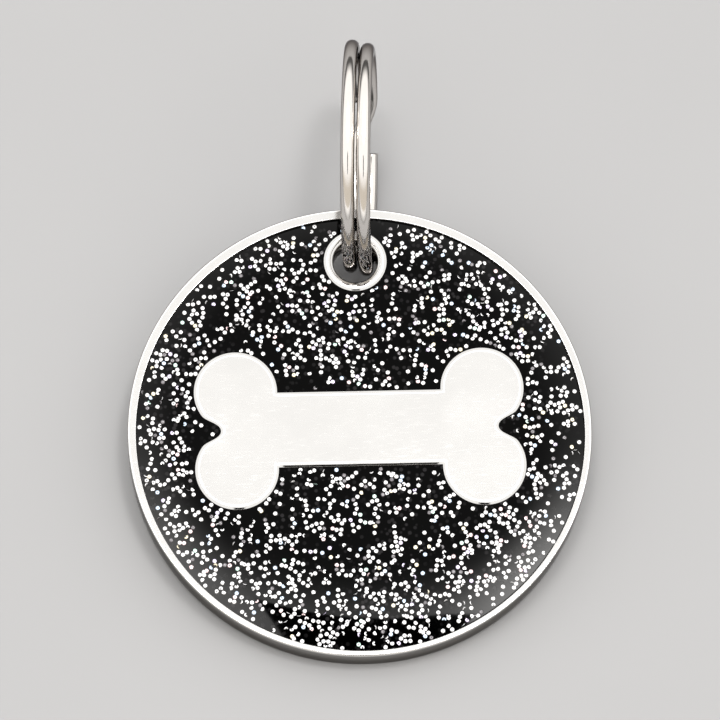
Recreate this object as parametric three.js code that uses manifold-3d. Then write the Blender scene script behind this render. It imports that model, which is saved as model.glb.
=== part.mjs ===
// Round pet tag with a glitter-enamel face, hung on a split ring.
//
// Millimetres. +Z points up out of the enamelled face, +Y points to the hole and the ring, and the
// origin is the centre of the tag's flat back face.
//
// The tag is one metal casting: a disc with a raised rim, a raised bone emblem and a raised collar
// round the hole. The pocket between them holds a black enamel ground, and over it a clear resin
// that carries the glitter. The split ring is one spring-steel wire, wound in two turns that lie
// side by side. It steps from one turn to the other where its two ends lie. The wire is made as
// two meshes, so that the half turn behind its first end can be pried open.

import * as THREE from "three";
import { mergeVertices } from "three/addons/utils/BufferGeometryUtils.js";
import Module from "manifold-3d";

const wasm = await Module();
wasm.setup();

// ---- Driving dimensions --------------------------------------------------------------------

// The tag's casting
const TAG_RADIUS = 16;
const TAG_THICKNESS = 2.4;
const EDGE_ROUND = 0.22;
const RIM_WIDTH = 0.54;
const POCKET_DEPTH = 0.6;
const HOLE_Y = 12.2;
const HOLE_RADIUS = 1.54;
const HOLE_EDGE_BREAK = 0.22;
const COLLAR_RADIUS = 2.19;

// The bone emblem: four round lobes and a straight shaft, with a round-tipped notch at each end
const BONE_Y = 0.12;
const LOBE_X = 8.51;
const LOBE_Y = 2.75;
const LOBE_RADIUS = 2.88;
const SHAFT_HALF_HEIGHT = 2.68;
const NOTCH_TIP_X = 9.57;
const NOTCH_TIP_SWEEP = 0.55;
const LOBE_FLARE = THREE.MathUtils.degToRad(35);
const LOBE_FLARE_SWEEP = 0.5;

// The two coats in the pocket
const GROUND_THICKNESS = 0.32;
const RESIN_BELOW_RIM = 0.02;
const COAT_GAP = 0.03;

// The split ring's wire: its width lies along the ring's axis, its height along the radius
const RING_OUTER_RADIUS = 8.1;
const WIRE_WIDTH = 0.95;
const WIRE_HEIGHT = 1.1;
const WIRE_CORNER = 0.45;
const TURN_GAP = 0.13;
// The two turns aren't quite concentric: each lies this far off the ring's centre.
const TURN_OFF_CENTRE = 0.12;

// Angles round the ring, counted from +Y towards +Z: the wire runs from its first end, all round
// in the left turn, steps over to the right turn below its first end, and runs round once more.
const FIRST_END = THREE.MathUtils.degToRad(-39);
const STEP_START = THREE.MathUtils.degToRad(292);
const STEP_END = THREE.MathUtils.degToRad(324);
const SECOND_END = THREE.MathUtils.degToRad(652);
const FLEX_POINT = FIRST_END + Math.PI;
const FLEX_GAP = 0.05;

// How the ring stands in the hole: swung up to its stop, with a little sideways lean and turn
const SWING = THREE.MathUtils.degToRad(23.5);
const LEAN = THREE.MathUtils.degToRad(-3.3);
const TURN = THREE.MathUtils.degToRad(-2.6);
const SIDE_PLAY = 0.3;

// Facets
const TAG_SEGMENTS = 96;
const COLLAR_SEGMENTS = 40;
const LOBE_SEGMENTS = 28;
const EDGE_SEGMENTS = 3;
const WIRE_CORNER_SEGMENTS = 3;
const WIRE_STEP = THREE.MathUtils.degToRad(6);

// ---- Materials -----------------------------------------------------------------------------

const polishedNickel = new THREE.MeshStandardMaterial({ color: 0xdcd9d4, metalness: 1, roughness: 0.12 });
const blackEnamel = new THREE.MeshStandardMaterial({ color: 0x0b0b0e, metalness: 0, roughness: 0.2 });
const glitterResin = new THREE.MeshStandardMaterial({
  color: 0x3a3a40,
  metalness: 0,
  roughness: 0.05,
  transparent: true,
  opacity: 0.6,
});
const springWire = new THREE.MeshStandardMaterial({ color: 0xbdb8b2, metalness: 1, roughness: 0.18 });

// ---- Solids from geometries ----------------------------------------------------------------

function solidFrom(geometry) {
  const bare = geometry.clone();
  bare.deleteAttribute("normal");
  bare.deleteAttribute("uv");
  const merged = mergeVertices(bare, 1e-4);
  const mesh = new wasm.Mesh({
    numProp: 3,
    vertProperties: merged.attributes.position.array,
    triVerts: new Uint32Array(merged.index.array),
  });
  return new wasm.Manifold(mesh);
}

function geometryFrom(solid) {
  const { vertProperties, triVerts } = solid.getMesh();
  const geometry = new THREE.BufferGeometry();
  geometry.setAttribute("position", new THREE.BufferAttribute(vertProperties, 3));
  geometry.setIndex(new THREE.BufferAttribute(triVerts, 1));
  geometry.computeVertexNormals();
  return geometry;
}

function namedMesh(name, geometry, material) {
  const mesh = new THREE.Mesh(geometry, material);
  mesh.name = name;
  return mesh;
}

function extrudedBetween(shape, bottom, top) {
  const geometry = new THREE.ExtrudeGeometry(shape, { depth: top - bottom, bevelEnabled: false });
  return geometry.translate(0, 0, bottom);
}

// ---- The casting ---------------------------------------------------------------------------

// How far a cutting tool reaches past the face that it cuts
const OVERCUT = 1;

// A circle as a path of straight sides, so that each circle has its own number of facets.
function circlePath(x, y, radius, segments) {
  const circle = new THREE.Path().absarc(x, y, radius, 0, 2 * Math.PI);
  return new THREE.Path(circle.getPoints(segments / 2).slice(0, -1));
}

// The bone's outline, counter-clockwise from the right notch, moved outwards by grow.
function bonePath(grow) {
  const radius = LOBE_RADIUS + grow;
  const shaft = SHAFT_HALF_HEIGHT + grow;
  const tip = NOTCH_TIP_X + grow;
  // Where a lobe's circle meets the shaft, as an angle below the lobe's own horizontal.
  const corner = Math.asin((LOBE_Y - shaft) / radius);
  const flare = { x: LOBE_X + radius * Math.cos(LOBE_FLARE), y: LOBE_Y - radius * Math.sin(LOBE_FLARE) };
  const bend = {
    x: flare.x - LOBE_FLARE_SWEEP * Math.sin(LOBE_FLARE),
    y: flare.y - LOBE_FLARE_SWEEP * Math.cos(LOBE_FLARE),
  };
  const path = new THREE.Path();
  path.moveTo(tip, 0);
  path.bezierCurveTo(tip, NOTCH_TIP_SWEEP, bend.x, bend.y, flare.x, flare.y);
  path.absarc(LOBE_X, LOBE_Y, radius, -LOBE_FLARE, Math.PI + corner);
  path.absarc(-LOBE_X, LOBE_Y, radius, -corner, Math.PI + LOBE_FLARE);
  path.bezierCurveTo(-bend.x, bend.y, -tip, NOTCH_TIP_SWEEP, -tip, 0);
  path.bezierCurveTo(-tip, -NOTCH_TIP_SWEEP, -bend.x, -bend.y, -flare.x, -flare.y);
  path.absarc(-LOBE_X, -LOBE_Y, radius, Math.PI - LOBE_FLARE, 2 * Math.PI + corner);
  path.absarc(LOBE_X, -LOBE_Y, radius, Math.PI - corner, 2 * Math.PI + LOBE_FLARE);
  path.bezierCurveTo(bend.x, -bend.y, tip, -NOTCH_TIP_SWEEP, tip, 0);
  const points = path.getPoints(LOBE_SEGMENTS / 2).slice(0, -1);
  points.forEach((point) => point.setY(point.y + BONE_Y));
  return new THREE.Path(points);
}

// The outline of the enamelled field, drawn in from its walls by inset.
function fieldShape(inset) {
  const edge = circlePath(0, 0, TAG_RADIUS - RIM_WIDTH - inset, TAG_SEGMENTS);
  const shape = new THREE.Shape(edge.getPoints());
  shape.holes.push(bonePath(inset));
  shape.holes.push(circlePath(0, HOLE_Y, COLLAR_RADIUS + inset, COLLAR_SEGMENTS));
  return shape;
}

function roundedDisc() {
  const profile = new THREE.Path();
  const shoulder = TAG_RADIUS - EDGE_ROUND;
  profile.moveTo(0, 0);
  profile.lineTo(shoulder, 0);
  profile.absarc(shoulder, EDGE_ROUND, EDGE_ROUND, -Math.PI / 2, 0);
  profile.absarc(shoulder, TAG_THICKNESS - EDGE_ROUND, EDGE_ROUND, 0, Math.PI / 2);
  profile.lineTo(0, TAG_THICKNESS);
  return new THREE.LatheGeometry(profile.getPoints(EDGE_SEGMENTS), TAG_SEGMENTS).rotateX(Math.PI / 2);
}

// What the hole takes away: a cylinder that opens in a 45 degree cone at each face.
function holeCutter() {
  const mouth = HOLE_RADIUS + HOLE_EDGE_BREAK + OVERCUT;
  const profile = [
    new THREE.Vector2(0, -OVERCUT),
    new THREE.Vector2(mouth, -OVERCUT),
    new THREE.Vector2(HOLE_RADIUS, HOLE_EDGE_BREAK),
    new THREE.Vector2(HOLE_RADIUS, TAG_THICKNESS - HOLE_EDGE_BREAK),
    new THREE.Vector2(mouth, TAG_THICKNESS + OVERCUT),
    new THREE.Vector2(0, TAG_THICKNESS + OVERCUT),
  ];
  return new THREE.LatheGeometry(profile, COLLAR_SEGMENTS).rotateX(Math.PI / 2).translate(0, HOLE_Y, 0);
}

function tagBody() {
  const pocket = extrudedBetween(fieldShape(0), TAG_THICKNESS - POCKET_DEPTH, TAG_THICKNESS + OVERCUT);
  const solid = solidFrom(roundedDisc()).subtract(solidFrom(pocket)).subtract(solidFrom(holeCutter()));
  return namedMesh("tag_body", geometryFrom(solid), polishedNickel);
}

// ---- The two coats -------------------------------------------------------------------------

const groundBottom = TAG_THICKNESS - POCKET_DEPTH + COAT_GAP;
const groundTop = groundBottom + GROUND_THICKNESS;

function enamelGround() {
  return namedMesh("enamel_ground", extrudedBetween(fieldShape(COAT_GAP), groundBottom, groundTop), blackEnamel);
}

function resinCoat() {
  const top = TAG_THICKNESS - RESIN_BELOW_RIM;
  return namedMesh("glitter_resin", extrudedBetween(fieldShape(COAT_GAP), groundTop + COAT_GAP, top), glitterResin);
}

// ---- The split ring ------------------------------------------------------------------------

const wireRadius = RING_OUTER_RADIUS - WIRE_HEIGHT / 2;
const turnSpacing = WIRE_WIDTH + TURN_GAP;

// The middle line of a stretch of the wire. The ring's axis is X, and its centre is the origin.
class WireLine extends THREE.Curve {
  constructor(from, to) {
    super();
    this.from = from;
    this.to = to;
  }

  angleAt(t) {
    return THREE.MathUtils.lerp(this.from, this.to, t);
  }

  getPoint(t, target = new THREE.Vector3()) {
    const angle = this.angleAt(t);
    const across = 2 * THREE.MathUtils.smoothstep(angle, STEP_START, STEP_END) - 1;
    const y = wireRadius * Math.cos(angle) - TURN_OFF_CENTRE * across;
    return target.set(turnSpacing * across / 2, y, wireRadius * Math.sin(angle));
  }

  // The section keeps its height along the ring's radius, also where the wire steps across.
  computeFrenetFrames(segments) {
    const frames = { tangents: [], normals: [], binormals: [] };
    for (let i = 0; i <= segments; i++) {
      const t = this.getUtoTmapping(i / segments);
      const angle = this.angleAt(t);
      const tangent = this.getTangent(t);
      const radial = new THREE.Vector3(0, Math.cos(angle), Math.sin(angle));
      frames.tangents.push(tangent);
      frames.binormals.push(radial);
      frames.normals.push(radial.clone().cross(tangent).normalize());
    }
    return frames;
  }
}

function wireSection() {
  const x = WIRE_WIDTH / 2 - WIRE_CORNER;
  const y = WIRE_HEIGHT / 2 - WIRE_CORNER;
  const outline = new THREE.Path();
  outline.absarc(x, y, WIRE_CORNER, 0, Math.PI / 2);
  outline.absarc(-x, y, WIRE_CORNER, Math.PI / 2, Math.PI);
  outline.absarc(-x, -y, WIRE_CORNER, Math.PI, (3 * Math.PI) / 2);
  outline.absarc(x, -y, WIRE_CORNER, (3 * Math.PI) / 2, 2 * Math.PI);
  return new THREE.Shape(outline.getPoints(WIRE_CORNER_SEGMENTS / 2));
}

function wireStretch(name, from, to) {
  const steps = Math.round((to - from) / WIRE_STEP);
  const geometry = new THREE.ExtrudeGeometry(wireSection(), { steps, extrudePath: new WireLine(from, to) });
  return namedMesh(name, geometry, springWire);
}

function splitRing() {
  const ring = new THREE.Group();
  ring.add(wireStretch("split_ring", FLEX_POINT + FLEX_GAP / wireRadius, SECOND_END));
  ring.add(wireStretch("split_ring_free_end", FIRST_END, FLEX_POINT));
  ring.position.set(0, wireRadius * Math.cos(SWING), wireRadius * Math.sin(SWING));
  // The ring swings about the middle of the hole.
  const swing = new THREE.Group();
  swing.add(ring);
  swing.position.set(SIDE_PLAY, HOLE_Y, TAG_THICKNESS / 2);
  swing.rotation.set(0, LEAN, TURN, "ZYX");
  return swing;
}

const petTag = new THREE.Group();
petTag.add(tagBody(), enamelGround(), resinCoat(), splitRing());

export default petTag;
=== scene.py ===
# %% [markdown]
# # A pet tag in black glitter enamel, on a split ring
#
# The object is a polished metal disc, 32 mm across, with a raised rim, a raised bone and a raised
# collar round its hole. The pocket between them is filled with black enamel and a clear resin full
# of round glitter. A split ring of plated spring wire goes through the hole.
#
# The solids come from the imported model, which says how big each piece is and where it lies. This
# lesson makes the fine surfaces around them: soft edges, a domed fill, two thousand flakes and a
# smooth wound wire.

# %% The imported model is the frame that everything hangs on
import math
import random

import bmesh
import bpy
from mathutils import Matrix, Vector
from mathutils.geometry import delaunay_2d_cdt, tessellate_polygon


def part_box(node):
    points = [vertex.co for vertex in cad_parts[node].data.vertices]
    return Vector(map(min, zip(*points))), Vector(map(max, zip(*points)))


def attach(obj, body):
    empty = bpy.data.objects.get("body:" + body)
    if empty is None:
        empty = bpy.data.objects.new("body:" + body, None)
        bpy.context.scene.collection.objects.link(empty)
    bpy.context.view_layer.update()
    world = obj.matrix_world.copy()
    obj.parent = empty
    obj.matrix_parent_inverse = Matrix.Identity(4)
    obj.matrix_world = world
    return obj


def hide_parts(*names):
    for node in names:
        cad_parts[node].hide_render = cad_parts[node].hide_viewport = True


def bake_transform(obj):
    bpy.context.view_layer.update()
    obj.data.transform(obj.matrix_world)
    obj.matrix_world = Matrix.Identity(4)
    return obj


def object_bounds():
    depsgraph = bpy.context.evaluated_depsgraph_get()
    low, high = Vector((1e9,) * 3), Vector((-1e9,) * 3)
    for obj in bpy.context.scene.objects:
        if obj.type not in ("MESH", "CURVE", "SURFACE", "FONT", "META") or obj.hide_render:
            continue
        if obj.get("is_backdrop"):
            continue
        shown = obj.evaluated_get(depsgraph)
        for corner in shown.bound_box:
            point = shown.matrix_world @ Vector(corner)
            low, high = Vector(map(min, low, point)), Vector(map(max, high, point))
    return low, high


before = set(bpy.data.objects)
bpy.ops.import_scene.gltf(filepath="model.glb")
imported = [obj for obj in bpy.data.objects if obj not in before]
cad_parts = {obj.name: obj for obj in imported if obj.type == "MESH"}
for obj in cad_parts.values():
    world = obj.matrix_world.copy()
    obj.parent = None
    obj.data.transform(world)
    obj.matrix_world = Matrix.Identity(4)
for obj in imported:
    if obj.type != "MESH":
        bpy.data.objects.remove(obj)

MM = 0.001
cad_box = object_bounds()
tag_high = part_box("tag_body")[1]
TAG_RADIUS = tag_high.x / MM
TAG_TOP = tag_high.z / MM
print("tag: %.1f mm across, %.2f mm thick" % (2 * TAG_RADIUS, TAG_TOP))

# %% [markdown]
# ## The camera
#
# A camera can be placed by hand or worked out from angles. Angles are easier to check: the tag is
# seen from its lower edge, from high above it, and the camera is rolled by a few degrees. A long
# lens at a good distance keeps the disc almost free of perspective, which suits a small flat thing.

# %% A camera worked out from three angles
CAMERA_AZIMUTH = -6.2
CAMERA_ELEVATION = 73.5
CAMERA_ROLL = 4.83
CAMERA_DISTANCE = 350
CAMERA_LENS = 254.3
SENSOR_WIDTH = 36
# The camera aims above the tag's middle, so that the ring is in the frame too.
AIM_UP = 4.8


def towards(azimuth, elevation):
    """A direction: azimuth 0 is the side of the tag that is away from the hole."""
    a, e = math.radians(azimuth), math.radians(elevation)
    return Vector((math.sin(a) * math.cos(e), -math.cos(a) * math.cos(e), math.sin(e)))


view = towards(CAMERA_AZIMUTH, CAMERA_ELEVATION)
roll = Matrix.Rotation(math.radians(CAMERA_ROLL), 4, "Z")
stand = view.to_track_quat("Z", "Y").to_matrix().to_4x4() @ roll
aim = Vector((0, 0, TAG_TOP)) + stand.to_3x3() @ Vector((0, AIM_UP, 0))
camera = bpy.data.objects.new("camera", bpy.data.cameras.new("camera"))
camera.data.lens = CAMERA_LENS
camera.data.sensor_width = SENSOR_WIDTH
camera.matrix_world = Matrix.Translation((aim + view * CAMERA_DISTANCE) * MM) @ stand
bpy.context.scene.collection.objects.link(camera)
bpy.context.scene.camera = camera
print("camera at", [round(c, 3) for c in camera.matrix_world.translation])

# %% [markdown]
# ## Building surfaces from loops
#
# Most of this object is an outline pushed up, rounded over and closed. A Bevel modifier could do
# the rounding, but it needs clean corners and gives no say over each band. Here every surface is a
# stack of loops with the same number of points, so one helper that joins neighbouring loops makes
# walls, rounded edges and flat rims alike.

# %% A helper that stacks loops of points into a surface
class Surface:
    """A mesh made of loops of points: strips between neighbouring loops, and flat fills."""

    def __init__(self):
        self.bm = bmesh.new()

    def loop(self, points):
        return [self.bm.verts.new(Vector(p) * MM) for p in points]

    def strip(self, a, b, material=0):
        for i in range(len(a)):
            j = (i + 1) % len(a)
            self.bm.faces.new((a[i], a[j], b[j], b[i])).material_index = material

    def stack(self, outlines):
        """Joins the outlines in order, and gives the first and the last loop back."""
        loops = [self.loop(points) for points in outlines]
        for a, b in zip(loops, loops[1:]):
            self.strip(a, b)
        return loops[0], loops[-1]

    def fill(self, *loops):
        """Closes the flat area inside the first loop and outside the others."""
        corners = [v for loop in loops for v in loop]
        for triangle in tessellate_polygon([[v.co for v in loop] for loop in loops]):
            self.bm.faces.new([corners[i] for i in triangle])

    def cap(self, loop):
        """Closes the end of a tube with a flat face and a crisp edge."""
        for edge in self.bm.faces.new(loop).edges:
            edge.smooth = False

    def piece(self, name, *materials):
        """Turns the surface into a smooth-shaded object, with every face looking outwards."""
        bmesh.ops.recalc_face_normals(self.bm, faces=self.bm.faces)
        if self.bm.calc_volume(signed=True) < 0:
            bmesh.ops.reverse_faces(self.bm, faces=self.bm.faces)
        mesh = bpy.data.meshes.new(name)
        self.bm.to_mesh(mesh)
        self.bm.free()
        mesh.shade_smooth()
        for material in materials:
            mesh.materials.append(material)
        made = bpy.data.objects.new(name, mesh)
        bpy.context.scene.collection.objects.link(made)
        print("%s: %d faces, %d finishes" % (name, len(mesh.polygons), len(materials)))
        return made


def abilities(kind):
    """The names of a class's own methods."""
    return ", ".join(name for name in vars(kind) if not name.startswith("__"))


print("a surface has:", abilities(Surface))

# %% [markdown]
# ## Shader maths as plain expressions
#
# A material that varies over a surface is a small sum: a noise, scaled, shifted and mixed in.
# Wiring each sum by hand hides it, so a small class wraps a socket and lets Python's own operators
# add the Math nodes. Every other kind of node comes from one method, which takes the node's type,
# its settings and its sockets.

# %% Sockets that can be added, multiplied and compared
class Value:
    """A socket that holds a number over the surface."""

    def __init__(self, nodes, socket):
        self.nodes = nodes
        self.socket = socket

    def maths(self, operation, a, b):
        return self.nodes.add("ShaderNodeMath", {"operation": operation}, {0: a, 1: b})

    def __add__(self, other):
        return self.maths("ADD", self, other)

    def __sub__(self, other):
        return self.maths("SUBTRACT", self, other)

    def __rsub__(self, other):
        return self.maths("SUBTRACT", other, self)

    def __mul__(self, other):
        return self.maths("MULTIPLY", self, other)

    def __truediv__(self, other):
        return self.maths("DIVIDE", self, other)

    def __rtruediv__(self, other):
        return self.maths("DIVIDE", other, self)

    def __pow__(self, other):
        return self.maths("POWER", self, other)

    def __rpow__(self, other):
        return self.maths("POWER", other, self)

    def __gt__(self, other):
        return self.maths("GREATER_THAN", self, other)

    def __lt__(self, other):
        return self.maths("LESS_THAN", self, other)

    __radd__ = __add__
    __rmul__ = __mul__


print("a value has, apart from its operators:", abilities(Value))

# %% One way to add any other node
class Nodes:
    """The nodes behind a shader."""

    def __init__(self, tree):
        self.tree = tree

    def add(self, kind, settings=None, sockets=None, out=0):
        """Adds a node: its settings first, then a number or a link for each named socket."""
        made = self.tree.nodes.new(kind)
        for setting, choice in (settings or {}).items():
            setattr(made, setting, choice)
        for name, value in (sockets or {}).items():
            self.give(self.find(made.inputs, name), value)
        return Value(self, self.find(made.outputs, out))

    def find(self, sockets, name):
        shown = [s for s in sockets if s.enabled]
        return shown[name] if isinstance(name, int) else next(s for s in shown if s.name == name)

    def give(self, socket, value):
        if isinstance(value, Value):
            self.tree.links.new(value.socket, socket)
        else:
            socket.default_value = value

    def place(self, layout="Object"):
        return self.add("ShaderNodeTexCoord", None, None, layout)

    def noise(self, scale, detail=2.0, stretch=None):
        """Soft noise. A stretch squeezes it along an axis, for a grain that runs one way."""
        where = self.place()
        if stretch:
            where = self.add("ShaderNodeMapping", None, {"Vector": where, "Scale": stretch})
        sockets = {"Vector": where, "Scale": scale, "Detail": detail}
        return self.add("ShaderNodeTexNoise", None, sockets)

    def ramp(self, value, low, high):
        """Rises smoothly from 0 at the low value to 1 at the high one."""
        sockets = {"Value": value, "From Min": low, "From Max": high}
        return self.add("ShaderNodeMapRange", {"interpolation_type": "SMOOTHSTEP"}, sockets)

    def mix(self, factor, a, b):
        """Goes from colour a, or a socket, to colour b as the factor goes from 0 to 1."""
        first = a if isinstance(a, Value) else (*a, 1)
        sockets = {"Factor": factor, "A": first, "B": (*b, 1)}
        return self.add("ShaderNodeMix", {"data_type": "RGBA"}, sockets)


print("nodes have:", abilities(Nodes))

# %% A finish: one Principled shader and the nodes behind it
class Finish(Nodes):
    """A material. Its fixed numbers sit on the shader itself, and what varies is linked to it."""

    def __init__(self, name, **fixed):
        self.material = bpy.data.materials.new(name)
        self.material.use_nodes = True
        super().__init__(self.material.node_tree)
        self.shader = self.tree.nodes["Principled BSDF"]
        for socket, number in fixed.items():
            self.shader.inputs[socket.replace("_", " ")].default_value = number
        print("finish:", name)

    def vary(self, name, value):
        """Links a value that changes over the surface to one of the shader's sockets."""
        self.give(self.shader.inputs[name], value)

    def bumps(self, height, depth):
        """Raises the surface by height times depth, in metres."""
        self.vary("Normal", self.add("ShaderNodeBump", None, {"Height": height, "Distance": depth}))


print("a finish also has:", abilities(Finish))

# %% [markdown]
# ## The metal: nickel plate, polished
#
# The tag is cast, ground, tumbled and plated. Its mirror is never quite perfect: the polishing
# wheel leaves faint hazy patches and hair-fine scratches. A flat roughness would look like plastic
# chrome, so a slow noise drives the haze, and a very shallow bump wobbles the reflections a little.
# The edge tint is painted shade: darker than nickel, it darkens the metal where it is seen edge-on.

# %% Polished plate for the casting
PLATE_GREY, PLATE_PALE = (0.60, 0.595, 0.585), (0.64, 0.635, 0.625)
# An edge tint darker than nickel has: painted shade on the edges and the side wall.
PLATE_EDGE_SHADE = (0.3, 0.29, 0.28, 1)
HAZE_SCALE, SCRATCH_SCALE = 260.0, 900.0
SCRATCH_STRETCH = (1.0, 14.0, 6.0)
SCRATCH_LEVEL = 0.62
PLATE_BUMP = 0.0000025


def polished_plate():
    finish = Finish("polished_plate", Metallic=1.0, Specular_Tint=PLATE_EDGE_SHADE)
    haze = finish.noise(HAZE_SCALE, 3.0)
    scratches = finish.noise(SCRATCH_SCALE, 2.0, SCRATCH_STRETCH)
    finish.vary("Base Color", finish.mix(haze, PLATE_GREY, PLATE_PALE))
    finish.vary("Roughness", 0.045 + 0.05 * haze + 0.03 * (scratches > SCRATCH_LEVEL))
    finish.bumps(haze + 0.25 * scratches, PLATE_BUMP)
    return finish.material


plate = polished_plate()

# %% [markdown]
# ## Outlines of the casting
#
# The rim and the collar are circles. The bone is four round lobes on a straight shaft, with a soft
# notch at each end. It could be traced as a list of points, but then its rounded edge would have to
# be traced again, a little smaller. As a function of how far it is grown, one outline gives every
# band of the edge.

# %% Circles and smooth curves
def circle(centre, radius, count):
    """Points round a circle, as (x, y) in millimetres."""
    turns = [2 * math.pi * i / count for i in range(count)]
    return [centre + radius * Vector((math.cos(t), math.sin(t))) for t in turns]


def bezier(a, b, c, d, count):
    """Points along a cubic curve, without its last one."""
    curve = []
    for i in range(count):
        t = i / count
        s = 1 - t
        curve.append(s**3 * a + 3 * s * s * t * b + 3 * s * t * t * c + t**3 * d)
    return curve


print("a circle of 4 points:", [tuple(p) for p in circle(Vector((0, 0)), 1, 4)])

# %% The bone as a function of its size
BONE_Y = 0.12
LOBE = Vector((8.51, 2.75))
LOBE_RADIUS = 2.88
SHAFT_HALF = 2.68
NOTCH_TIP = 9.57
NOTCH_SWEEP = 0.55
NOTCH_POINTS = 14
FLARE = math.radians(35)
FLARE_SWEEP = 0.5
LOBE_POINTS = 60
SHAFT_POINTS = 12


def bone_quarter(grow):
    """The bone's outline from the right notch's tip up and round to the middle of its top."""
    radius, half = LOBE_RADIUS + grow, SHAFT_HALF + grow
    tip = Vector((NOTCH_TIP + grow, 0))
    flare = LOBE + radius * Vector((math.cos(FLARE), -math.sin(FLARE)))
    bend = flare - FLARE_SWEEP * Vector((math.sin(FLARE), math.cos(FLARE)))
    points = bezier(tip, tip + Vector((0, NOTCH_SWEEP)), bend, flare, NOTCH_POINTS)
    corner = math.pi + math.asin((LOBE.y - half) / radius)
    for i in range(LOBE_POINTS):
        turn = -FLARE + (corner + FLARE) * i / LOBE_POINTS
        points.append(LOBE + radius * Vector((math.cos(turn), math.sin(turn))))
    shoulder = LOBE.x + radius * math.cos(corner)
    points += [Vector((shoulder * (1 - i / SHAFT_POINTS), half)) for i in range(SHAFT_POINTS)]
    return points


def bone(grow):
    """The whole outline, counter-clockwise, made of the quarter and its mirror images."""
    quarter = bone_quarter(grow)
    middle = Vector((0, SHAFT_HALF + grow))
    upper = quarter + [middle] + [Vector((-p.x, p.y)) for p in reversed(quarter)]
    lower = [Vector((p.x, -p.y)) for p in reversed(upper[1:-1])]
    return [p + Vector((0, BONE_Y)) for p in upper + lower]


BONE = bone(0)
print("bone: %d points, %.1f mm long" % (len(BONE), 2 * max(p.x for p in BONE)))

# %% [markdown]
# ## The edges of the casting
#
# The rim, the bone and the collar rise from one floor. Their top edges are rounded by tumbling, and
# these thin rounded edges draw the bright and dark lines that make metal look like metal. Each edge
# is a quarter of a circle in five steps, and each flat face keeps a narrow band at its border, so
# that smooth shading leaves it perfectly flat.
#
# Polishing also wears a raised face down a little towards its edge. A straight slope would show a
# line where it starts, so the fall grows with the square of the distance.

# %% Bands of a rounded edge
EDGE_STEPS = 5
SOFT_WIDTH = 0.28
SOFT_DROP = 0.06
SOFT_STEPS = 6


def quarter_round(distance, height, radius, start):
    """A quarter of a circle as (distance, height) pairs, turning left from the start angle."""
    pairs = []
    for i in range(EDGE_STEPS + 1):
        turn = math.radians(start + 90 * i / EDGE_STEPS)
        pairs.append((distance + radius * math.cos(turn), height + radius * math.sin(turn)))
    return pairs


def soft_edge(start):
    """The gentle fall that polishing leaves on a raised face, from its edge inwards."""
    pairs = []
    for i in range(SOFT_STEPS + 1):
        s = i / SOFT_STEPS
        pairs.append((start - SOFT_WIDTH * s, TAG_TOP - SOFT_DROP * (1 - s) ** 2))
    return pairs


def raised(outline, profile):
    """One loop for each (grow, height) pair of the profile."""
    return [[(p.x, p.y, height) for p in outline(grow)] for grow, height in profile]


print("a soft edge falls %.2f mm over %.2f mm" % (SOFT_DROP, SOFT_WIDTH))

# %% [markdown]
# ## The rim
#
# The rim is one profile taken round the disc: the back edge, the side wall, the top edge and the
# wall of the pocket. Cast pockets are seldom quite in the middle, so this one is set off by a
# seventh of a millimetre, and the rim is a little wider beside the hole than at the far edge.

# %% The rim's outline and profile
RIM_WIDTH = 0.54
RIM_POINTS = 256
OUTER_ROUND = 0.12
INNER_ROUND = 0.03
BAND = 0.03
POCKET_CENTRE = Vector((0.04, -0.14))
POCKET_DEPTH = 0.6
POCKET_FLOOR = TAG_TOP - POCKET_DEPTH


def rim_outline(grow):
    centre = POCKET_CENTRE if grow < -RIM_WIDTH / 2 else Vector((0, 0))
    return circle(centre, TAG_RADIUS + grow, RIM_POINTS)


def rim_profile():
    inner = RIM_WIDTH - INNER_ROUND
    profile = [(-OUTER_ROUND - BAND, 0)]
    profile += quarter_round(-OUTER_ROUND, OUTER_ROUND, OUTER_ROUND, -90)
    profile += quarter_round(-OUTER_ROUND, TAG_TOP - OUTER_ROUND, OUTER_ROUND, 0)
    profile += [(-OUTER_ROUND - BAND, TAG_TOP), (-inner + BAND, TAG_TOP)]
    profile += quarter_round(-inner, TAG_TOP - INNER_ROUND, INNER_ROUND, 90)
    return profile + [(-RIM_WIDTH, POCKET_FLOOR)]


print("rim: %d bands, %.2f mm wide" % (len(rim_profile()) - 1, RIM_WIDTH))

# %% [markdown]
# ## The bone, the collar and the whole casting
#
# The bone and the collar start alike, at the pocket's floor. The bone's face is flat once its soft
# edge ends. The collar's face turns down into the hole in a wide round, where the ring has room to
# swing. The three stacks are then joined by flat fills: the bone's face, the pocket's floor and the
# back.

# %% The raised bone and the collar
HOLE = Vector((0, 12.2))
HOLE_RADIUS = 1.54
HOLE_ROUND = 0.2
COLLAR_RADIUS = 2.19
COLLAR_POINTS = 96


def raised_edge():
    """From the pocket's floor up the wall and over the soft edge."""
    corner = TAG_TOP - SOFT_DROP - INNER_ROUND
    wall = [(0, POCKET_FLOOR)] + quarter_round(-INNER_ROUND, corner, INNER_ROUND, 0)[:-1]
    return wall + soft_edge(-INNER_ROUND)


def bone_profile():
    return raised_edge() + [(-INNER_ROUND - SOFT_WIDTH - BAND, TAG_TOP)]


def collar_profile():
    turn_in = HOLE_RADIUS - COLLAR_RADIUS + HOLE_ROUND
    profile = raised_edge() + [(turn_in + BAND, TAG_TOP)]
    profile += quarter_round(turn_in, TAG_TOP - HOLE_ROUND, HOLE_ROUND, 90)
    profile += quarter_round(turn_in, HOLE_ROUND, HOLE_ROUND, 180)
    return profile + [(turn_in + BAND, 0)]


def collar_outline(grow):
    return circle(HOLE, COLLAR_RADIUS + grow, COLLAR_POINTS)


collar_width = COLLAR_RADIUS - HOLE_RADIUS
print("collar: %.2f mm of metal round a hole of %.2f mm" % (collar_width, 2 * HOLE_RADIUS))

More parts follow.
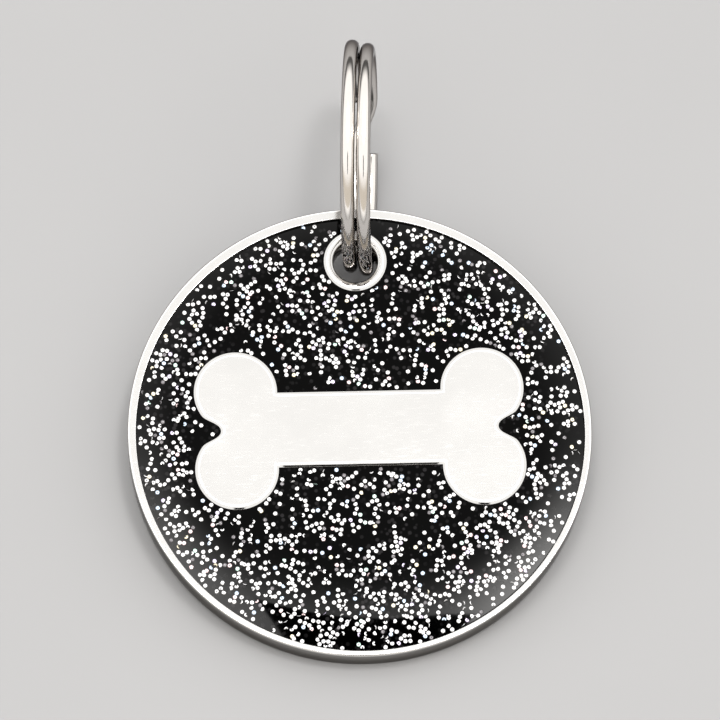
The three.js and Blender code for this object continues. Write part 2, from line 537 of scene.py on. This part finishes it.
# %% The casting
metal = Surface()
back_edge, rim_foot = metal.stack(raised(rim_outline, rim_profile()))
bone_foot, bone_edge = metal.stack(raised(bone, bone_profile()))
collar_foot, back_hole = metal.stack(raised(collar_outline, collar_profile()))
metal.fill(bone_edge)
metal.fill(rim_foot, bone_foot, collar_foot)
metal.fill(back_edge, back_hole)
tag = metal.piece("tag_casting", plate)
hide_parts("tag_body")
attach(tag, "tag")

# %% [markdown]
# ## Where the enamel is
#
# The fill and the flakes both need to know whether a point lies in the field: inside the rim,
# outside the collar and outside the bone. A ray cast on the mesh could tell, but the outlines are
# known exactly, so a count of crossings and a distance are quicker.

# %% Is a point of the field clear of the metal?
# Every fourth point of the bone is enough to measure a distance from.
BONE_COARSE = BONE[::4]


def sides(loop):
    return zip(loop, loop[1:] + loop[:1])


def gap_to(p, loop):
    """The distance from a point to the nearest side of a loop."""
    gaps = []
    for a, b in sides(loop):
        along = b - a
        t = max(0.0, min(1.0, (p - a).dot(along) / along.length_squared))
        gaps.append((p - a - along * t).length)
    return min(gaps)


def inside(p, loop):
    """Counts the sides that a line to the right of the point crosses: odd is inside."""
    odd = False
    for a, b in sides(loop):
        if (a.y > p.y) != (b.y > p.y) and p.x < a.x + (b.x - a.x) * (p.y - a.y) / (b.y - a.y):
            odd = not odd
    return odd


def in_field(p, margin):
    """True when a point is in the enamel and at least the margin away from any metal."""
    if (p - POCKET_CENTRE).length > TAG_RADIUS - RIM_WIDTH - margin:
        return False
    if (p - HOLE).length < COLLAR_RADIUS + margin:
        return False
    reach = LOBE_RADIUS + margin
    if abs(p.x) > LOBE.x + reach or abs(p.y - BONE_Y) > LOBE.y + reach:
        return True
    return not inside(p, BONE) and (margin == 0 or gap_to(p, BONE_COARSE) > margin)


print("the middle of the tag is in the field:", in_field(Vector((0, 0)), 0))

# %% [markdown]
# ## The dome of the fill
#
# The fill is black underneath and clear on top. It was poured, and its surface tension domes it:
# flat in the middle, and falling a little towards the rim. A boolean of a sphere could give the
# dome, but not its soft turn at the edges. So the dome is a formula, whose slope grows from
# nothing, and both the height and the exact normal come from it.

# %% The height and the normal of the dome
# The fill meets the worn edges of the bone and the collar.
FILL_TOP = TAG_TOP - SOFT_DROP
DOME_START = 9.5
DOME_REACH = TAG_RADIUS - RIM_WIDTH - DOME_START
DOME_SLOPE = math.radians(4.5)
SLOPE_POWER = 1.5


def dome(x, y):
    """Height and normal of the fill's surface."""
    radius = math.hypot(x, y)
    past = max(0.0, radius - DOME_START) / DOME_REACH
    fall = past ** (SLOPE_POWER + 1) / (SLOPE_POWER + 1)
    height = FILL_TOP - DOME_SLOPE * DOME_REACH * fall
    outward = Vector((x, y, 0)) / max(radius, 1e-6)
    steep = math.tan(DOME_SLOPE * past**SLOPE_POWER)
    return height, (outward * steep + Vector((0, 0, 1))).normalized()


print("the dome falls %.2f mm by the rim" % (FILL_TOP - dome(TAG_RADIUS - RIM_WIDTH, 0)[0]))

# %% [markdown]
# ## The gloss of the fill
#
# Black enamel under a clear coat is nearly all reflection. Its own colour is almost nothing, apart
# from flakes that have sunk too deep to shine: cells of a Voronoi pattern, shown only where a slow
# noise lets them through. The reflection is kept weak, because a white tent would otherwise wash
# the black out to grey.

# %% Black enamel and the clear coat's gloss
FILL_BLACK, SUNK_GREY = (0.0003, 0.0003, 0.0003), (0.02, 0.019, 0.02)
FILL_REFLECTION = 0.05
SUNK_FLAKES_PER_METRE = 2300.0
SUNK_FLAKE, SUNK_PATCH = (0.22, 0.4), (0.35, 0.75)


def glitter_fill():
    finish = Finish("glitter_fill", Metallic=0.0, Specular_IOR_Level=FILL_REFLECTION, IOR=1.5)
    depth = finish.noise(300.0, 1.0)
    sockets = {"Vector": finish.place(), "Scale": SUNK_FLAKES_PER_METRE}
    cells = finish.add("ShaderNodeTexVoronoi", None, sockets, "Distance")
    sunk = (1 - finish.ramp(cells, *SUNK_FLAKE)) * finish.ramp(depth, *SUNK_PATCH)
    finish.vary("Base Color", finish.mix(sunk, FILL_BLACK, SUNK_GREY))
    finish.vary("Roughness", 0.02 + 0.02 * finish.noise(180.0))
    return finish.material


fill_material = glitter_fill()

# %% [markdown]
# ## The mesh of the fill
#
# The field has an awkward shape: a disc with a bone and a collar cut out of it. A constrained
# triangulation keeps those outlines exactly and puts neat rings of points between them. The dome's
# own normals are then stored on the mesh, so that reflections flow over it without facets.

# %% Triangles over the whole field
FILL_GAP = 0.004
ROW_STEP = 0.3
ROW_COUNT = 51
ROW_MARGIN = 0.12
# The triangulation's mode that leaves out what is beyond the outermost border.
WITHIN_BORDERS = 1
SAME_POINT = 1e-5


def field_triangles():
    """Triangles over the field, cut out round the bone and the collar."""
    rim = circle(POCKET_CENTRE, TAG_RADIUS - RIM_WIDTH - FILL_GAP, RIM_POINTS)
    collar = circle(HOLE, COLLAR_RADIUS + FILL_GAP, COLLAR_POINTS)
    points, borders = [], []
    for loop in (rim, bone(FILL_GAP), collar):
        first = len(points)
        borders += [(first + i, first + (i + 1) % len(loop)) for i in range(len(loop))]
        points += loop
    for row in range(1, ROW_COUNT + 1):
        ring = circle(Vector((0, 0)), ROW_STEP * row, 6 * row)
        points += [p for p in ring if in_field(p, ROW_MARGIN)]
    found = delaunay_2d_cdt(points, borders, [], WITHIN_BORDERS, SAME_POINT)
    points, triangles = found[0], found[2]
    # The triangles over the bone and in the hole are cleared one by one.
    middles = [(points[a] + points[b] + points[c]) / 3 for a, b, c in triangles]
    return points, [t for t, middle in zip(triangles, middles) if in_field(middle, 0)]


points, triangles = field_triangles()
print("the field has %d points and %d triangles" % (len(points), len(triangles)))

# %% The fill: a domed top, a flat underside and walls
# The underside lies a hair above the enamel ground.
GROUND_SPACE = 0.35
FILL_UNDERSIDE = POCKET_FLOOR + GROUND_SPACE


def domed_fill():
    body = Surface()
    top = body.loop([(p.x, p.y, dome(p.x, p.y)[0]) for p in points])
    underside = body.loop([(p.x, p.y, FILL_UNDERSIDE) for p in points])
    for a, b, c in triangles:
        body.bm.faces.new((top[a], top[b], top[c]))
        body.bm.faces.new((underside[c], underside[b], underside[a]))
    below = dict(zip(top, underside))
    for edge in [e for e in body.bm.edges if e.is_boundary and e.verts[0] in below]:
        a, b = edge.verts
        body.bm.faces.new((a, b, below[b], below[a]))
    return body.piece("domed_fill", fill_material)


fill = domed_fill()
normals = [dome(v.co.x / MM, v.co.y / MM)[1] for v in fill.data.vertices[: len(points)]]
normals += [Vector((0, 0, -1))] * len(points)
fill.data.normals_split_custom_set_from_vertices(normals)
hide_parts("glitter_resin")
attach(fill, "tag")

# %% [markdown]
# ## The enamel ground
#
# Under the fill lies a thin coat of plain black enamel. Its solid is right as it is, so it only
# gets a better material: a dull black, a little mottled, as enamel is before the top coat goes on.

# %% A mottled black for the enamel ground
GROUND_BLACK, GROUND_GREY = (0.004, 0.004, 0.005), (0.012, 0.012, 0.014)
ground = Finish("enamel_ground", Roughness=0.25)
mottle = ground.mix(ground.noise(400.0), GROUND_BLACK, GROUND_GREY)
ground.vary("Base Color", mottle)
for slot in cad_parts["enamel_ground"].material_slots:
    slot.material = ground.material

# %% [markdown]
# ## The glitter
#
# Each flake is a punched disc of film, three tenths of a millimetre across, with a small dimple in
# the middle. They could be painted as dots, but real discs catch the light at their own angles:
# most lie flat, some lean, and a few stand so steep that only a sliver shows. Most film is silver.
# One flake in seven has a rainbow tint, and half as many are dull. The dark grey in each dimple
# is painted shade.

# %% Finishes of the film
FILM_TINT_SCALE, FILM_HAZE_SCALE = 1500.0, 900.0


def flake_finish(name, colour, shade, roughness):
    finish = Finish(name, Metallic=1.0)
    finish.vary("Base Color", finish.mix(finish.noise(FILM_TINT_SCALE), colour, shade))
    finish.vary("Roughness", roughness + 0.1 * finish.noise(FILM_HAZE_SCALE))
    return finish.material


FLAKE_FINISHES = [
    flake_finish("flake_silver", (1.0, 1.0, 1.0), (0.93, 0.93, 0.95), 0.35),
    flake_finish("flake_dim", (0.25, 0.24, 0.25), (0.12, 0.11, 0.12), 0.35),
    flake_finish("flake_sky", (0.62, 0.80, 1.0), (0.78, 0.86, 1.0), 0.3),
    flake_finish("flake_rose", (1.0, 0.72, 0.76), (1.0, 0.86, 0.86), 0.3),
    flake_finish("flake_lilac", (0.80, 0.70, 1.0), (0.92, 0.86, 1.0), 0.3),
    flake_finish("flake_gold", (1.0, 0.90, 0.62), (1.0, 0.96, 0.84), 0.3),
    flake_finish("flake_mint", (0.66, 1.0, 0.88), (0.86, 1.0, 0.94), 0.3),
    # The dimple's film is dark grey: painted shade in the recess.
    flake_finish("flake_dimple_shade", (0.12, 0.12, 0.12), (0.05, 0.05, 0.05), 0.35),
]
FLAKE_SHARES = [0.79, 0.07, 0.04, 0.03, 0.03, 0.03, 0.01, 0]
# The dimple's finish, a dark grey that is painted shade in the recess.
DIMPLE_SHADE = 7

# %% [markdown]
# ## Where the flakes lie
#
# Flakes poured in resin don't spread evenly: some touch, a few lie over each other, and they gather
# towards the rim. Plain random points would clump too much, so each new flake keeps its distance,
# and three tries in ten are made right beside an earlier one. A grid of cells finds the neighbours
# fast.

# %% Scattering the flakes
FLAKE_RADIUS = 0.152
FLAKE_COUNT = 2000
BESIDE_SHARE = 0.3
BESIDE_REACH = (0.95, 1.2)
# Fewer flakes lie in the middle of the tag.
THIN_RADIUS = 10.5
THIN_SHARE = 0.2
# Flakes keep nearly their own width apart, but one in ten may lie over another.
OVER_SHARE = 0.1
OVER_SPACING, SPACING = 0.55, 0.93
WALL_SPACING = 1.05
random.seed(20)


def crowded(p, cells, spacing):
    """True when another flake's middle is nearer than the spacing."""
    column, row = int(p.x // 1), int(p.y // 1)
    around = [(column + i, row + j) for i in (-1, 0, 1) for j in (-1, 0, 1)]
    return any((p - q).length < spacing for cell in around for q in cells.get(cell, []))


def scatter():
    """Places the flakes: many alone, many touching an earlier one, a few lying over it."""
    spots, cells = [], {}
    while len(spots) < FLAKE_COUNT:
        turn = random.uniform(0, 2 * math.pi)
        aside = Vector((math.cos(turn), math.sin(turn)))
        if spots and random.random() < BESIDE_SHARE:
            reach = 2 * FLAKE_RADIUS * random.uniform(*BESIDE_REACH)
            p = random.choice(spots) + reach * aside
        else:
            p = TAG_RADIUS * math.sqrt(random.random()) * aside
        thin = p.length < THIN_RADIUS and random.random() < THIN_SHARE
        spacing = 2 * FLAKE_RADIUS * (OVER_SPACING if random.random() < OVER_SHARE else SPACING)
        clear = not thin and in_field(p, FLAKE_RADIUS * WALL_SPACING)
        if clear and not crowded(p, cells, spacing):
            spots.append(p)
            cells.setdefault((int(p.x // 1), int(p.y // 1)), []).append(p)
    return spots


flake_spots = scatter()
print("%d flakes placed" % len(flake_spots))

# %% Two thousand small discs
FLAKE_THICKNESS = 0.012
FLAKE_SIDES = 12
FLAKE_SUNK = 0.006
FLAT_SHARE = 0.9
FLAT_LEAN = 5
STEEP_LEAN = (20, 70)
DIMPLE_SIZE = 0.36
DIMPLE_LEVEL = -0.4


def flake_pose(normal):
    """Turns a flake flat on the dome, then leans it: nine in ten a little, the rest a lot."""
    flat = random.random() < FLAT_SHARE
    lean = random.gauss(0, FLAT_LEAN) if flat else random.uniform(*STEEP_LEAN)
    turn = Matrix.Rotation(random.uniform(0, 2 * math.pi), 3, "Z")
    tilt = Matrix.Rotation(math.radians(lean), 3, "X")
    return Vector((0, 0, 1)).rotation_difference(normal).to_matrix() @ turn @ tilt


def add_flake(glitter, centre, pose, kind):
    """A disc with a small dimple pressed into its top, coloured dark grey as painted shade."""
    rings = []
    for size, level in ((1, -0.5), (1, 0.5), (DIMPLE_SIZE, 0.5)):
        flat = circle(Vector((0, 0)), FLAKE_RADIUS * size, FLAKE_SIDES)
        corners = [centre + pose @ Vector((p.x, p.y, level * FLAKE_THICKNESS)) for p in flat]
        rings.append(glitter.loop(corners))
    glitter.strip(rings[0], rings[1], kind)
    glitter.strip(rings[1], rings[2], kind)
    dimple = glitter.loop([centre + pose @ Vector((0, 0, DIMPLE_LEVEL * FLAKE_THICKNESS))])[0]
    for a, b in sides(rings[2]):
        glitter.bm.faces.new((a, b, dimple)).material_index = DIMPLE_SHADE
    glitter.bm.faces.new(rings[0][::-1]).material_index = kind


glitter = Surface()
for p in flake_spots:
    height, normal = dome(p.x, p.y)
    pose = flake_pose(normal)
    level = height + FLAKE_THICKNESS / 2 - random.uniform(0.0, FLAKE_SUNK)
    kind = random.choices(range(len(FLAKE_FINISHES)), FLAKE_SHARES)[0]
    add_flake(glitter, Vector((p.x, p.y, level)), pose, kind)
flakes = glitter.piece("glitter_flakes", *FLAKE_FINISHES)
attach(flakes, "tag")

# %% [markdown]
# ## The split ring
#
# The ring is one wire, wound twice round and flattened, so that its two turns lie side by side. It
# steps from one turn to the other where its ends are. A Curve object with a bevel would be quick,
# but its section turns as it pleases. Here each section is placed along a formula, so the
# flattened wire always stands square to the ring.

# %% The wire's line
RING_RADIUS = 8.1
WIRE_WIDTH = 0.95
WIRE_HEIGHT = 1.1
TURN_GAP = 0.13
OFF_CENTRE = 0.12
STEP_START, STEP_END = 292, 324
WIRE_LINE_RADIUS = RING_RADIUS - WIRE_HEIGHT / 2


def wire_point(angle):
    """The middle of the wire at an angle in degrees, in the ring's own frame."""
    t = min(1.0, max(0.0, (angle - STEP_START) / (STEP_END - STEP_START)))
    across = 2 * t * t * (3 - 2 * t) - 1
    a = math.radians(angle)
    x = across * (WIRE_WIDTH + TURN_GAP) / 2
    y = WIRE_LINE_RADIUS * math.cos(a) - OFF_CENTRE * across
    return Vector((x, y, WIRE_LINE_RADIUS * math.sin(a)))


print("wire: %.2f by %.2f mm" % (WIRE_WIDTH, WIRE_HEIGHT))

# %% [markdown]
# ## How the ring lies
#
# The ring goes down through the hole and leans back beyond the tag's edge. Its place is a chain of
# small turns about the hole: up by the swing, then over to one side, and a little round.

# %% The ring's place, and the wire's section
SWING = math.radians(23.5)
LEAN = math.radians(-3.3)
TURN = math.radians(-2.6)
SIDE_PLAY = 0.3
WIRE_CORNER = 0.45
CORNER_STEPS = 8
ring_centre = WIRE_LINE_RADIUS * Vector((0, math.cos(SWING), math.sin(SWING)))
ring_pose = (
    Matrix.Translation((SIDE_PLAY, HOLE.y, TAG_TOP / 2))
    @ Matrix.Rotation(TURN, 4, "Z")
    @ Matrix.Rotation(LEAN, 4, "Y")
    @ Matrix.Translation(ring_centre)
)


def wire_section(angle, shrink=0.0):
    """The rounded outline of the wire at an angle, made smaller all round by the shrink."""
    a = math.radians(angle)
    # The wire's direction comes from two points, half a degree to either side.
    tangent = (wire_point(angle + 0.5) - wire_point(angle - 0.5)).normalized()
    radial = Vector((0, math.cos(a), math.sin(a)))
    side = radial.cross(tangent).normalized()
    points = []
    for quarter, (sx, sy) in enumerate(((1, 1), (-1, 1), (-1, -1), (1, -1))):
        for i in range(CORNER_STEPS + 1):
            t = math.pi / 2 * (quarter + i / CORNER_STEPS)
            x = sx * (WIRE_WIDTH / 2 - WIRE_CORNER) + (WIRE_CORNER - shrink) * math.cos(t)
            y = sy * (WIRE_HEIGHT / 2 - WIRE_CORNER) + (WIRE_CORNER - shrink) * math.sin(t)
            points.append(ring_pose @ (wire_point(angle) + side * x + radial * y))
    return points


print("each section of the wire has %d points" % len(wire_section(0)))

# %% [markdown]
# ## The finish of the wire
#
# Spring wire is drawn, wound and then barrel-plated, so it is hazier than the tag and slightly
# warmer. The same two ingredients do it: a noise for the haze and a very shallow bump. The edge
# tint is painted shade, darker still: it draws the thin dark lines along both sides of a bright
# wire.

# %% Plated spring wire
WIRE_GREY, WIRE_PALE = (0.66, 0.63, 0.60), (0.78, 0.75, 0.72)
# An edge tint darker than nickel has: painted shade along the wire's sides.
WIRE_EDGE_SHADE = (0.2, 0.19, 0.19, 1)
WIRE_HAZE_SCALE = 500.0
WIRE_BUMP = 0.0000015


def ring_wire_finish():
    finish = Finish("ring_wire", Metallic=1.0, Specular_Tint=WIRE_EDGE_SHADE)
    haze = finish.noise(WIRE_HAZE_SCALE, 3.0)
    finish.vary("Base Color", finish.mix(haze, WIRE_GREY, WIRE_PALE))
    finish.vary("Roughness", 0.07 + 0.08 * haze)
    finish.bumps(haze, WIRE_BUMP)
    return finish.material


wire_material = ring_wire_finish()

# %% [markdown]
# ## Two runs of one wire
#
# Half a turn of the wire can be pried open with a fingernail, so the wire is made in two runs that
# meet face to face. The free run must bend, not break away: here only the two points along the
# opening half where such a bend would start and end are worked out. Each cut end has its sharp
# edge filed off, here by two smaller sections.

# %% A length of wire
END_BREAK = 0.08
BREAK_MIDDLE = 0.3
SECTION_STEP = 2


def wire_run(name, first, last, cut_first, cut_last):
    """A length of wire. A cut end gets a small broken edge; the other end meets its neighbour."""
    steps = int((last - first) / SECTION_STEP)
    angles = [first + (last - first) * i / steps for i in range(steps + 1)]
    nudge = math.degrees(END_BREAK / WIRE_LINE_RADIUS)
    outlines = []
    if cut_first:
        angles[0] = first + nudge
        outlines.append(wire_section(first, END_BREAK))
        outlines.append(wire_section(first + nudge * BREAK_MIDDLE, END_BREAK * BREAK_MIDDLE))
    if cut_last:
        angles[-1] = last - nudge
    outlines += [wire_section(a) for a in angles]
    if cut_last:
        outlines.append(wire_section(last - nudge * BREAK_MIDDLE, END_BREAK * BREAK_MIDDLE))
        outlines.append(wire_section(last, END_BREAK))
    wire = Surface()
    start, end = wire.stack(outlines)
    wire.cap(start)
    wire.cap(end)
    made = wire.piece(name, wire_material)
    return made


print("a section of wire every %d degrees" % SECTION_STEP)

# %% The fixed run and the free half
FIRST_END = -39
FLEX_POINT = FIRST_END + 180
SECOND_END = 652
BEND_START, BEND_END = 0.6, 4.0
fixed_run = wire_run("ring_wire", FLEX_POINT, SECOND_END, False, True)
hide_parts("split_ring")
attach(fixed_run, "ring")

free_run = wire_run("ring_wire_free_half", FIRST_END, FLEX_POINT, True, False)
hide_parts("split_ring_free_end")
flex = ring_pose @ wire_point(FLEX_POINT)
across = (ring_pose @ wire_point(FIRST_END) - flex).normalized()
bend_start, bend_end = (flex + across * BEND_START) * MM, (flex + across * BEND_END) * MM
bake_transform(free_run)
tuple(bend_start)
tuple(bend_end)
print("the wire bends over %.1f mm" % (BEND_END - BEND_START))

# %% [markdown]
# ## The stage
#
# The tag lies on a plain pale surface. Its lower edge and the lowest point of the ring touch it, so
# the surface is tilted a little against the tag's own axes. The slope is measured from the packed
# ring, not guessed, or the tag would float or sink.

# %% The floor, tilted to touch the tag and the ring
FLOOR = 0.6
PAPER_GREY, PAPER_PALE = (0.34, 0.34, 0.345), (0.36, 0.36, 0.365)
foot = -(TAG_RADIUS - OUTER_ROUND) * MM
ring_nodes = [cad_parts[name] for name in ("split_ring", "split_ring_free_end")]
slope = min(v.co.z / (v.co.y - foot) for node in ring_nodes for v in node.data.vertices)
corners = [(-FLOOR, -FLOOR), (FLOOR, -FLOOR), (FLOOR, FLOOR), (-FLOOR, FLOOR)]
floor_mesh = bpy.data.meshes.new("floor")
floor_mesh.from_pydata([(x, y, slope * (y - foot)) for x, y in corners], [], [(0, 1, 2, 3)])
floor = bpy.data.objects.new("floor", floor_mesh)
bpy.context.scene.collection.objects.link(floor)
paper = Finish("floor_paper", Roughness=0.9, Specular_IOR_Level=0.2)
paper.vary("Base Color", paper.mix(paper.noise(40.0), PAPER_GREY, PAPER_PALE))
floor_mesh.materials.append(paper.material)
floor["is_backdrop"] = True
print("floor slope %.2f deg" % math.degrees(math.atan(slope)))

# %% [markdown]
# ## The light
#
# Polished metal shows what stands round it, so the light is mostly a thing to be reflected. Lamps
# would draw small hard shapes in the wire. A tent of white cloth lit from outside fills every curve
# instead, and the sky colour of the scene can be that tent.
#
# It is laid out in angles from the direction that the flat metal reflects: plain white there,
# brighter round it and above the front corners, darker and browner down at the front, and black in
# the gap between two cloths. The domed fill shows that gap as a crisp crescent. The lens looks in
# through a second hole, lower down, which draws a short dark mark on the wire.

# %% Directions round the one that the flat metal reflects
world = bpy.data.worlds.new("light_tent")
world.use_nodes = True
tent = Nodes(world.node_tree)
ray = tent.place("Generated")
height = tent.add("ShaderNodeSeparateXYZ", None, {"Vector": ray}, "Z")
mirrored = Vector((-view.x, -view.y, view.z))
turn = Vector((0, 0, 1)).rotation_difference(mirrored).to_euler()
settings = {"rotation_type": "EULER_XYZ", "invert": True}
turned = tent.add("ShaderNodeVectorRotate", settings, {"Vector": ray, "Rotation": turn})
x, y, z = [tent.add("ShaderNodeSeparateXYZ", None, {"Vector": turned}, axis) for axis in "XYZ"]
across, up = x / z, y / z
ahead = z > 0.05
print("the flat metal reflects", [round(c, 2) for c in mirrored])

# %% The gap in the cloth and the hole for the lens
GAP_LEFT, GAP_RIGHT = -0.075, 0.092
GAP_TOP, GAP_BOTTOM = -0.127, -0.25
GAP_MIDDLE, GAP_CURVE = -0.035, 3.05
LENS_SIDE = 0.1
LENS_TOP, LENS_BOTTOM = -0.62, -1.3
aside = across - GAP_MIDDLE
gap = ahead * (across > GAP_LEFT) * (across < GAP_RIGHT) * (up > GAP_BOTTOM)
gap = gap * (up < GAP_TOP - GAP_CURVE * aside * aside)
lens = ahead * (across > -LENS_SIDE) * (across < LENS_SIDE)
lens = lens * (up > LENS_BOTTOM) * (up < LENS_TOP)
print("the gap is %.0f degrees wide" % math.degrees(GAP_RIGHT - GAP_LEFT))

# %% The lit cloth
TENT = 1.46
TENT_AT_FLOOR, TENT_RISE = 0.08, (0.0, 0.35)
SIDE_GLOW, SIDE_RISE = 4.0, (0.07, 0.2)
FRONT_GLOW, FRONT_RISE = 8.0, (0.04, 0.15)
GLOW_FADE = (0.2, 0.34)
SPOT_SIZE = 0.08
RIGHT_SPOT, RIGHT_GLOW = (0.175, -0.175), 50.0
LEFT_SPOT, LEFT_GLOW = (-0.19, -0.14), 16.0
WHITE_CLOTH, BROWN_CLOTH = (1.0, 0.985, 0.965), (0.6, 0.55, 0.48)
BROWN_RISE = (0.9, 2.5)
BLACK = (0.0, 0.0, 0.0)


def spot(x, y):
    """A soft round spot: 1 in its middle, fading to 0 at twice its size."""
    dx, dy = across - x, up - y
    return 1 - tent.ramp((dx * dx + dy * dy) ** 0.5, 0.0, 2 * SPOT_SIZE)


reach = (across * across + up * up) ** 0.5
near = ahead * (1 - tent.ramp(reach, *GLOW_FADE))
glow = SIDE_GLOW * tent.ramp(reach, *SIDE_RISE) + FRONT_GLOW * tent.ramp(0 - up, *FRONT_RISE)
glow = glow + RIGHT_GLOW * spot(*RIGHT_SPOT) + LEFT_GLOW * spot(*LEFT_SPOT)
cloth = TENT * (TENT_AT_FLOOR + (1 - TENT_AT_FLOOR) * tent.ramp(height, *TENT_RISE))
low_front = tent.ramp(0 - up, *BROWN_RISE) * ahead
colour = tent.mix(low_front, WHITE_CLOTH, BROWN_CLOTH)
sockets = {"Vector": colour, "Scale": cloth + near * glow}
bright = tent.add("ShaderNodeVectorMath", {"operation": "SCALE"}, sockets)
shown = tent.mix(gap + lens, bright, BLACK)
tent.give(world.node_tree.nodes["Background"].inputs["Color"], shown)
bpy.context.scene.world = world
print("the tent is made of %d nodes" % len(world.node_tree.nodes))

# %% [markdown]
# ## Plain tones
#
# The default view transform rolls bright tones off softly, which greys white metal. A tag under a
# white tent should reach white, so the plain transform is used.

# %% A plain view transform
bpy.context.scene.view_settings.view_transform = "Standard"
print("view transform:", bpy.context.scene.view_settings.view_transform)

# %% [markdown]
# ## Did the sizes stay true?
#
# The finished surfaces should lie within the imported solids, give or take a hair. The largest
# difference between the two boxes is printed.

# %% The sizes of the imported model and of the finished one
visual_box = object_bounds()
grown = max(abs(a - b) / MM for p, q in zip(cad_box, visual_box) for a, b in zip(p, q))
print("the boxes differ by %.3f mm at most" % grown)
